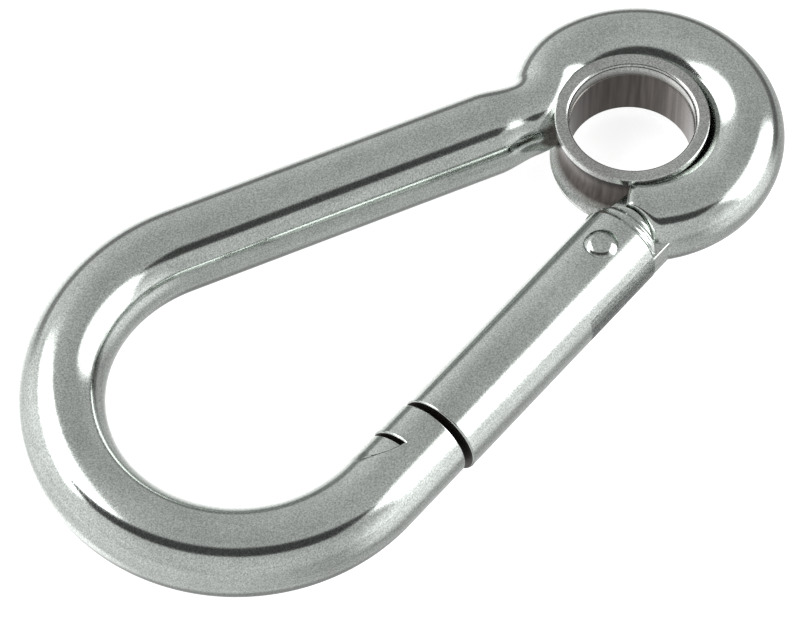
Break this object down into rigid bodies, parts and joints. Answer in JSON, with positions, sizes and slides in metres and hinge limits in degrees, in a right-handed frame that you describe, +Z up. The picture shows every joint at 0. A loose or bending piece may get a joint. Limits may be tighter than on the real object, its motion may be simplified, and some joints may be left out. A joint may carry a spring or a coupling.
{
  "type": "snap hook",
  "caption": "Polished stainless spring snap hook: a bent round bar with a captive eyelet at one end and a riveted spring gate that opens inwards.",
  "frame": {"origin": "centre of the eyelet's bore, at half the height of the bar", "axes": "+X runs from the eyelet to the bow, +Y points to the gate's side, +Z runs up along the eyelet's bore; the hook lies flat"},
  "size_m": [0.1013, 0.0513, 0.0106],
  "materials": {
    "polished_bar": "tumble polished stainless steel",
    "polished_gate": "turned and polished stainless steel",
    "turned_eyelet": "turned stainless steel",
    "rivet_steel": "peened and polished stainless steel",
    "spring_wire": "drawn stainless spring wire"
  },
  "bodies": {
    "hook": {"body": "polished_bar", "eyelet": "turned_eyelet"},
    "gate": {"gate": "polished_gate", "hinge_rivet": "rivet_steel", "gate_spring": "spring_wire"},
    "plunger": {"spring_plunger": "turned_eyelet"}
  },
  "joints": [
    {"name": "gate_hinge", "type": "hinge", "parent": "hook", "child": "gate", "pos_m": [0.01446, 0.01206, 0], "axis": [0, 0, -1], "range_deg": [0, 30], "stiffness_Nm_per_rad": 0.12, "springref_deg": -20.05},
    {"name": "plunger_slide", "type": "slide", "parent": "gate", "child": "plunger", "axis": [0.9744, 0.225, 0], "range_m": [0, 0.00108], "deforming": ["gate_spring"]}
  ],
  "couplings": [
    {"joint": "plunger_slide", "follows": "gate_hinge", "m_per_rad": 0.002}
  ]
}
